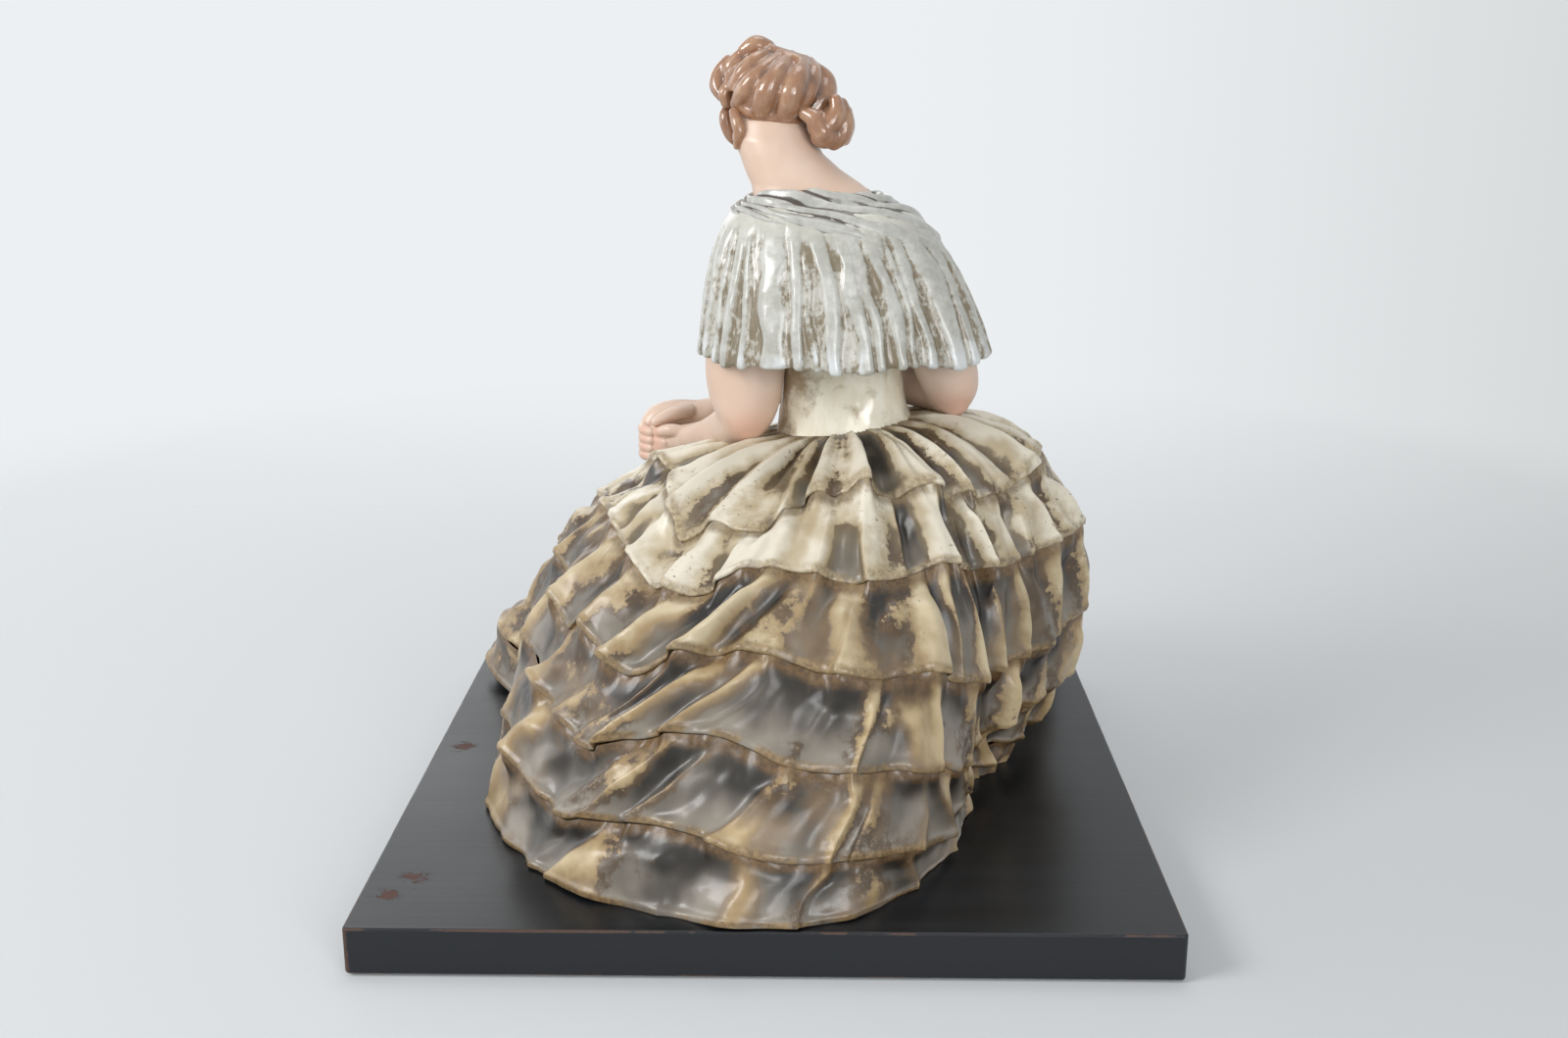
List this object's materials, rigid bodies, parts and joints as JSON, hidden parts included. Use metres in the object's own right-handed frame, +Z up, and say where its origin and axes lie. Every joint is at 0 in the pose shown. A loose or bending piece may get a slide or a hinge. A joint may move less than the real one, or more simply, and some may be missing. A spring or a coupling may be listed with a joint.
{
  "type": "ceramic figurine",
  "caption": "Glazed ceramic figurine of a seated woman in a flounced skirt and pleated capelet, on a square black wooden board.",
  "frame": {"origin": "on the table, under the middle of the board", "axes": "+Z up, the figure faces +Y and the train of the skirt spreads towards -Y, +X to the figure's right"},
  "size_m": [0.3, 0.3, 0.3238],
  "materials": {
    "board_lacquer": "satin black lacquer, worn at the edges",
    "baize": "felted wool",
    "screw_steel": "plain",
    "washer_brass": "plain",
    "dowel_wood": "raw",
    "plaster": "matt",
    "biscuit": "unglazed",
    "glaze_cream": "gloss, cream with grey-brown flashes",
    "glaze_taupe": "gloss, taupe grey with tan lips",
    "glaze_pearl": "gloss, pearl grey runs over brown",
    "skin_glaze": "gloss, pale peach",
    "hair_glaze": "gloss, red-brown"
  },
  "bodies": {
    "root": {"plinth_board": "board_lacquer", "baize_sheet": "baize", "fixing_screws": "screw_steel", "screw_washers": "washer_brass", "anchor_dowels": "dowel_wood", "plaster_bed": "plaster", "skirt_core": "biscuit", "flounce_1": "glaze_cream", "flounce_2": "glaze_cream", "flounce_3": "glaze_taupe", "flounce_4": "glaze_taupe", "flounce_5": "glaze_taupe", "flounce_6": "glaze_taupe", "bodice": "glaze_cream", "capelet": "glaze_pearl", "collar_roll": "glaze_pearl", "shoulders": "skin_glaze", "head_and_neck": "skin_glaze", "hair_crown": "hair_glaze", "hair_chignon": "hair_glaze", "hair_side_curl": "hair_glaze", "left_arm": "skin_glaze", "right_arm": "skin_glaze", "left_hand": "skin_glaze", "right_hand": "skin_glaze"}
  },
  "joints": []
}
